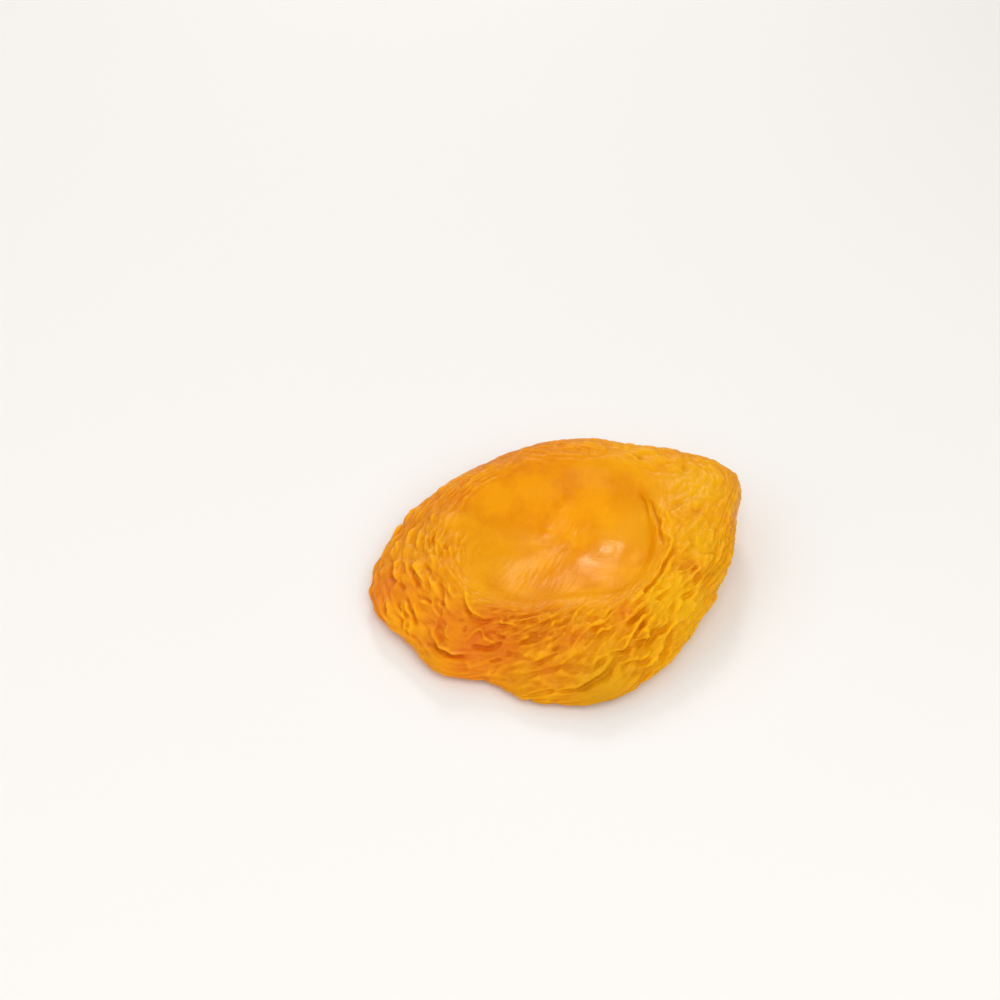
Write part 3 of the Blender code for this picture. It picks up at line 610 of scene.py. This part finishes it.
# the skin as a grid: the smooth form, the wide relief along its normals and leaning down the flank, then
# the fine relief; with it the tones, and the places where the finest lines are read
def peachSkin():
    bearing, way, shape = gridParameters()
    form = smoothForm(bearing, way)
    underside = 1 - ramp(way, *bands["underside"])
    edge = way + noiseOf("edge", bearing, way)
    rim = ramp(edge, *bands["rim"]) * underside
    wrinkled = ramp(edge, *bands["fine"]) * underside

    # how much of each kind of relief there is
    names = ("innerShare", "outerShare", "wideShare", "fineShare", "cellShare")
    inner, outer, wideShare, fineShare, cellShare = (around(wrinkles[name], bearing) for name in names)
    flank = ramp(way, *bands["flank"])
    ridgeShare = (1 - flank) * inner + flank * outer
    for x, y, reach in wrinkles["calm"]:
        still = 1 - wrinkles["calmShare"] * roundSpot(form, x, y, reach) * (1 - ramp(way, *bands["calm"]))
        ridgeShare, wideShare, fineShare = ridgeShare * still, wideShare * still, fineShare * still
    rough = np.clip(wrinkles["roughLevel"] + noiseOf("rough", bearing, way), *wrinkles["roughLimits"])

    # the wide relief, in a pattern that runs aslant, wanders and sways
    slanted = way + around(wrinkles["slant"], bearing)
    moved = slanted + noiseOf("wander", bearing, way)
    swayed = bearing + noiseOf("sway", bearing, moved)
    wide = (pillows(swayed, moved, wrinkles["wide"]) * wideShare + noiseOf("swell", bearing, way)) * rim
    folded, line = (value * (1 - ramp(way, *bands["folds"])) for value in foldHeight(form, way))
    ridged = longRidges(swayed, moved) * rim * ridgeShare * rough
    relief = wide + folded + ridged
    lean = wrinkles["lean"] * relief * rim * (1 - ramp(way, *bands["lean"]))
    grid = form.reshape(*shape, 3)
    normal = gridNormals(grid)
    down = unit(np.gradient(grid, axis=0))
    grid = grid + normal * relief.reshape(*shape, 1) + down * lean.reshape(*shape, 1)

    # the fine relief, along the normals of the skin so far
    warp = wrinkles["fineWarp"]
    turned, shifted = bearing + warp * (swayed - bearing), slanted + warp * (moved - slanted)
    fine = pillows(turned, shifted, wrinkles["fine"]) + creaseNet(turned, shifted, wrinkles["creases"])
    stays, goes = wrinkles["fineRough"]
    fine *= wrinkled * (stays + goes * rough) * fineShare
    size, depth, narrow, seed = wrinkles["cells"]
    fine += creasesOf(slopeNoise(form / size, seed), depth, narrow) * wrinkled * cellShare
    fine += hollowRelief(form) * (1 - ramp(edge, *bands["rim"]))
    grid = grid + unit(gridNormals(grid) + normal) * fine.reshape(*shape, 1)
    grid = easeFolds(grid, normal)
    grid[..., 2] = np.maximum(grid[..., 2], 0) + soleCreases(form, way).reshape(shape)

    tone = {name: zoneTone(form, zones) for name, zones in toneZones.items()}
    # the relief, painted into the colour: shade in the creases, highlight on the ridges and beads
    tone["crease"] = wrinkles["toneWide"] * wide + wrinkles["toneLine"] * line + ridged + fine
    tone["rim"], tone["wrinkled"] = rim, wrinkled
    across = slanted + wrinkles["lineWarp"] * (moved - slanted)
    places = np.stack((np.cos(bearing) * rimRadius, np.sin(bearing) * rimRadius, across), axis=-1)
    return grid, tone, places


# one mesh from the grid: quads between rows, a fan at each pole, and the tones as attributes; the middle
# of its box stands over that of the solid's
def skinMesh(name, grid, tone, places):
    rows, columns = grid.shape[:2]
    poles = smoothForm(np.zeros(2), np.array((0.0, toEnd)))
    points = np.concatenate((poles[:1], grid.reshape(-1, 3), poles[1:]))
    low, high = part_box(solidNode)
    middle = (points.min(axis=0) + points.max(axis=0)) / 2
    points[:, :2] += (np.array(low) + np.array(high))[:2] / 2 / mm - middle[:2]

    numbers = 1 + np.arange(rows * columns).reshape(rows, columns)
    beside = np.roll(numbers, -1, axis=1)
    quads = np.stack((numbers[:-1], numbers[1:], beside[1:], beside[:-1]), axis=-1).reshape(-1, 4)
    first = np.stack((np.zeros(columns, int), numbers[0], beside[0]), axis=-1)
    last = np.stack((np.full(columns, len(points) - 1), beside[-1], numbers[-1]), axis=-1)
    mesh = bpy.data.meshes.new(name)
    mesh.from_pydata((points * mm).tolist(), [], quads.tolist() + first.tolist() + last.tolist())
    for key, values in tone.items():
        ends = values[:columns].mean(keepdims=True), values[-columns:].mean(keepdims=True)
        values = np.concatenate((ends[0], values, ends[1])).astype(np.float32)
        mesh.attributes.new(key, "FLOAT", "POINT").data.foreach_set("value", values)
    places = (np.concatenate((places[:1], places, places[-1:])) * mm).astype(np.float32)
    mesh.attributes.new("rimPlace", "FLOAT_VECTOR", "POINT").data.foreach_set("vector", places.ravel())
    mesh.shade_smooth()
    mesh.update()
    return mesh


# sRGB hex to linear light, by the standard's own curve
def linear(hexColour):
    parts = [int(hexColour[place:place + 2], 16) / 255 for place in (1, 3, 5)]
    return [part / 12.92 if part <= 0.04045 else ((part + 0.055) / 1.055) ** 2.4 for part in parts] + [1]


# adds a node and gives one of its outputs; a socket given as an input is linked, any other value is set
def addNode(tree, kind, inputs=None, output=0, **settings):
    node = tree.nodes.new("ShaderNode" + kind)
    for name, value in settings.items():
        setattr(node, name, value)
    for key, value in (inputs or {}).items():
        if isinstance(value, bpy.types.NodeSocket):
            tree.links.new(value, node.inputs[key])
        else:
            node.inputs[key].default_value = value
    return node.outputs[output]


# places with a tone of their own or painted shade, from above: x, y, reach, amount
toneZones = {
    # a blush of the flesh; the zone at the left edge (-31.5, -5.5) is a painted shadow
    "blushAndShadow": (
        (-20.5, -14.5, 3.8, 0.8), (-15.5, -19.0, 4.5, 0.9), (-13.0, -17.0, 4.0, 0.7),
        (-10.5, -19.5, 2.8, 0.8), (-23.5, -17.0, 3.5, 0.7), (1.5, -18.6, 1.8, 0.5), (-3.4, -23.9, 2.6, 0.5),
        (10.2, -14.4, 1.6, 0.5), (-26.3, -7.2, 2.4, 0.5), (-31.5, -5.5, 4.0, 0.7), (22.6, -5.0, 2.0, 0.3),
    ),
    "glossy": (
        (9.8, 5.2, 2.6, 1.0), (7.4, 2.9, 2.4, 1.0), (5.0, 0.6, 2.2, 1.0), (2.9, 5.3, 0.9, 0.8),
        (-3.0, -2.5, 2.5, 0.2),
    ),
    "yellower": (
        (20.0, -12.0, 9.0, 1.0), (25.0, 0.0, 8.0, 0.9), (25.0, 13.0, 9.0, 0.8), (9.0, -23.0, 7.0, 0.6),
        (17.0, -20.0, 6.0, 0.8), (-24.0, 2.0, 7.0, 0.4), (-15.0, -10.0, 5.0, 0.4), (-13.0, 0.0, 8.0, 0.4),
        (14.0, 8.0, 7.0, 0.6), (15.0, 22.0, 8.0, 0.5), (31.0, -5.0, 7.0, 1.0), (-4.0, -26.0, 5.0, 0.5),
        (4.0, -14.0, 5.0, 0.35),
    ),
    # painted shade on the lip's front and lower left
    "lipShade": ((6.0, -27.5, 6.0, 0.8), (-8.0, -28.0, 5.0, 0.3), (-24.0, -19.0, 4.0, 0.3)),
}


# how much of a tone each point of the skin has: the most that any of its soft round zones gives
def zoneTone(form, zones):
    amount = np.zeros(len(form))
    for x, y, reach, most in zones:
        amount = np.maximum(amount, most * roundSpot(form, x, y, reach))
    return amount


flesh = {
    "gold": "#fdb20c",             # painted highlight on the tops of the ridges
    "orange": "#f39a08",           # the flesh between
    "creaseShade": "#d27204",            # painted shade in the bottoms of the creases
    "hollowGold": "#f29e04",       # the hollow, and its darker patches
    "hollowAmber": "#e68d03",
    "straw": "#f2ba08",            # yellower, lighter places, mostly on the right and the front
    "salmon": "#e2661c",           # a blush, from the flesh near the skin, and a painted shadow at the left edge
    "lipShade": "#d4960c",             # painted shade on the thin lip
    "orangeBand": (-0.6, 0.35),    # relief shading at which the painted crease shade turns to orange, and where it has likewise from orange to the painted ridge highlight
    "goldBand": (-0.1, 0.75),      # likewise from orange to gold
    "patchBand": (0.40, 0.60),     # patch noise, likewise from hollowAmber to hollowGold
    "patchRelief": 0.5,            # how much painted shade from the hollow's relief adds to the patches: higher places paler, lower darker
    "yellowerMost": 0.75,
    "blushBand": (0.3, 0.7),       # patch noise, likewise from the blush's least share to its most
    "blushShares": (0.35, 0.95),
    "patchSize": 9.0,              # mm
    "roughness": (0.35, 0.20),     # dry flesh, and where it is glossy
    "grainSize": 0.55,             # mm
    "grainDepth": 0.2,             # mm
    "lineLength": 2.4,             # mm, the finest wrinkles, which run along the rim
    "lineWidth": 0.9,
    "lineDepth": 0.08,
    "glare": "#ffe5ad",            # waxy sugar warms what it mirrors
}
noiseMiddle, noiseReach = 0.5, 0.25    # of the noise node's values


# dried peach flesh: leathery, slightly translucent and waxy, glossier where the stone sat
def driedFlesh():
    material = bpy.data.materials.new("driedPeachFlesh")
    material.use_nodes = True
    tree = material.node_tree
    surface = tree.nodes["Principled BSDF"]
    place = addNode(tree, "TexCoord", output="Object")
    tone = {name: addNode(tree, "Attribute", output="Fac", attribute_name=name)
            for name in ("crease", "rim", "wrinkled", *toneZones)}

    # patches of ripeness, with painted shade from the hollow's relief: higher places paler, lower ones
    # darker
    patches = addNode(tree, "TexNoise", {"Vector": place, "Scale": 1 / (flesh["patchSize"] * mm),
                                         "Detail": 6.0, "Roughness": 0.72})
    lifted = addNode(tree, "Math", {0: tone["crease"], 1: flesh["patchRelief"], 2: patches},
                     operation="MULTIPLY_ADD")
    values = {"orangeBand": tone["crease"], "goldBand": tone["crease"], "patchBand": lifted}
    toOrange, toGold, toHollowGold = (
        addNode(tree, "MapRange", {"Value": value, "From Min": flesh[band][0], "From Max": flesh[band][1]})
        for band, value in values.items())
    (low, high), (least, most) = flesh["blushBand"], flesh["blushShares"]
    spots = addNode(tree, "MapRange", {"Value": patches, "From Min": low, "From Max": high,
                                       "To Min": least, "To Max": most})
    blushAndShadow = addNode(tree, "Math", {0: tone["blushAndShadow"], 1: spots}, operation="MULTIPLY")
    yellower = addNode(tree, "Math", {0: tone["yellower"], 1: flesh["yellowerMost"]}, operation="MULTIPLY")

    # the rim from painted shade in its creases to painted highlight on its ridges, the hollow, and the
    # zones over both
    mix = {"output": 2, "data_type": "RGBA"}       # its share is at input 0, its colours at 6 and 7
    rim = linear(flesh["creaseShade"])
    for share, name in ((toOrange, "orange"), (toGold, "gold")):
        rim = addNode(tree, "Mix", {0: share, 6: rim, 7: linear(flesh[name])}, **mix)
    darker, paler = (linear(flesh[name]) for name in ("hollowAmber", "hollowGold"))
    hollow = addNode(tree, "Mix", {0: toHollowGold, 6: darker, 7: paler}, **mix)
    colour = addNode(tree, "Mix", {0: tone["rim"], 6: hollow, 7: rim}, **mix)
    for share, name in ((yellower, "straw"), (blushAndShadow, "salmon"), (tone["lipShade"], "lipShade")):
        colour = addNode(tree, "Mix", {0: share, 6: colour, 7: linear(flesh[name])}, **mix)
    tree.links.new(colour, surface.inputs["Base Color"])

    dry, wet = flesh["roughness"]
    gloss = addNode(tree, "MapRange", {"Value": tone["glossy"], "To Min": dry, "To Max": wet})
    tree.links.new(gloss, surface.inputs["Roughness"])

    # a faint grain all over, and lines along the rim where noise crosses its middle
    grain = addNode(tree, "TexNoise", {"Vector": place, "Detail": 2.0,
                                       "Scale": 1 / (flesh["grainSize"] * mm)})
    bump = addNode(tree, "Bump", {"Height": grain, "Strength": 0.15, "Distance": flesh["grainDepth"] * mm})
    alongRim = addNode(tree, "Attribute", output="Vector", attribute_name="rimPlace")
    size = [1 / (flesh[name] * mm) for name in ("lineLength", "lineLength", "lineWidth")]
    stretched = addNode(tree, "Mapping", {"Vector": alongRim, "Scale": size})
    lines = addNode(tree, "TexNoise", {"Vector": stretched, "Scale": 1.0, "Detail": 2.0, "Distortion": 0.4})
    signed = addNode(tree, "Math", {0: lines, 1: noiseMiddle}, operation="SUBTRACT")
    folded = addNode(tree, "Math", {0: signed}, operation="ABSOLUTE")
    onRim = addNode(tree, "Math", {0: folded, 1: tone["wrinkled"]}, operation="MULTIPLY")
    bump = addNode(tree, "Bump", {"Height": onRim, "Strength": 1.0, "Normal": bump,
                                  "Distance": flesh["lineDepth"] / noiseReach * mm})
    tree.links.new(bump, surface.inputs["Normal"])

    # light goes about 0.3 mm into the flesh and comes back warm, and its wax mirrors little
    finish = {"Subsurface Weight": 0.18, "Subsurface Radius": (1.0, 0.4, 0.1), "Subsurface Scale": 0.3 * mm,
              "IOR": 1.45, "Specular IOR Level": 0.25, "Specular Tint": linear(flesh["glare"])}
    for name, value in finish.items():
        surface.inputs[name].default_value = value
    return material


def makePeach():
    grid, tone, places = peachSkin()
    half = bpy.data.objects.new("driedPeachHalf", skinMesh("driedPeachHalf", grid, tone, places))
    bpy.context.scene.collection.objects.link(half)
    half.data.materials.append(driedFlesh())
    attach(half, "root")
    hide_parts(solidNode)
    print("skin:", len(half.data.polygons), "faces")


studio = {
    "floorSize": 3.0,              # m
    "floorDrop": 0.05,             # mm, keeps the floor clear of the sole
    "floorTone": "#f4f3f1",
    "floorRoughness": 0.9,
    "skyTone": "#fffbf5",
    "skyStrength": 0.50,
    # name: place in m, size in m, power in W
    "lights": {
        "windowBehind": ((-0.01, 0.48, 0.35), 0.11, 0.64),
        "softboxRight": ((0.26, -0.26, 0.41), 0.35, 0.58),
        "softboxFront": ((0.0, -0.28, 0.47), 0.35, 0.85),
        "softboxLeft": ((-0.44, -0.16, 0.29), 0.35, 0.38),
        "fillBehind": ((-0.26, 0.26, 0.41), 0.35, 0.25),
    },
}


# matt painted board, which takes a soft shadow, under an even sky and soft lights that face the half
def makeStudio():
    material = bpy.data.materials.new("mattBoard")
    material.use_nodes = True
    surface = material.node_tree.nodes["Principled BSDF"]
    surface.inputs["Base Color"].default_value = linear(studio["floorTone"])
    surface.inputs["Roughness"].default_value = studio["floorRoughness"]
    half, level = studio["floorSize"] / 2, -studio["floorDrop"] * mm
    corners = [(-half, -half, level), (half, -half, level), (half, half, level), (-half, half, level)]
    mesh = bpy.data.meshes.new("floor")
    mesh.from_pydata(corners, [], [(0, 1, 2, 3)])
    mesh.materials.append(material)
    floor = bpy.data.objects.new("floor", mesh)
    bpy.context.scene.collection.objects.link(floor)

    world = bpy.data.worlds.new("studio")
    world.use_nodes = True
    background = world.node_tree.nodes["Background"]
    background.inputs["Color"].default_value = linear(studio["skyTone"])
    background.inputs["Strength"].default_value = studio["skyStrength"]
    bpy.context.scene.world = world
    for name, (place, size, power) in studio["lights"].items():
        lamp = bpy.data.lights.new(name, "AREA")
        lamp.size = size
        lamp.energy = power
        holder = bpy.data.objects.new(name, lamp)
        holder.location = place
        holder.rotation_euler = (-Vector(place)).to_track_quat("-Z", "Y").to_euler()
        bpy.context.scene.collection.objects.link(holder)
    print("studio: floor and", len(studio["lights"]), "soft lights")


view = {
    "elevation": 45.0,               # degrees above the half laid flat
    "distance": 0.2464,              # m, where a 50 mm lens shows the half at the photo's size
    "lens": 50.0,                    # mm
    "sensor": 36.0,                  # mm
    "nearest": 0.01,                 # m
    "imageSize": 1000,
    "middlePixel": (559.5, 564.5),   # where the photo shows the half's middle, at middleHeight
    "middleHeight": 0.005,           # m
}


# the camera stands so that the half's middle falls on its pixel of the photo
def makeCamera():
    data = bpy.data.cameras.new("camera")
    data.lens = view["lens"]
    data.sensor_width = view["sensor"]
    data.clip_start = view["nearest"]
    camera = bpy.data.objects.new("camera", data)
    tilt = math.radians(view["elevation"])
    forward = Vector((0, math.cos(tilt), -math.sin(tilt)))
    up = Vector((0, math.sin(tilt), math.cos(tilt)))
    pixelsPerUnit = view["lens"] / view["sensor"] * view["imageSize"]   # one unit away, one unit aside
    x, y = view["middlePixel"]
    ray = forward + Vector((1, 0, 0)) * (x - view["imageSize"] / 2) / pixelsPerUnit
    ray += up * (view["imageSize"] / 2 - y) / pixelsPerUnit
    camera.location = Vector((0, 0, view["middleHeight"])) - ray * view["distance"]
    camera.rotation_euler = (math.radians(90) - tilt, 0, 0)
    bpy.context.scene.collection.objects.link(camera)
    bpy.context.scene.camera = camera
    bpy.context.scene.view_settings.view_transform = "Standard"


makePeach()
makeStudio()
makeCamera()
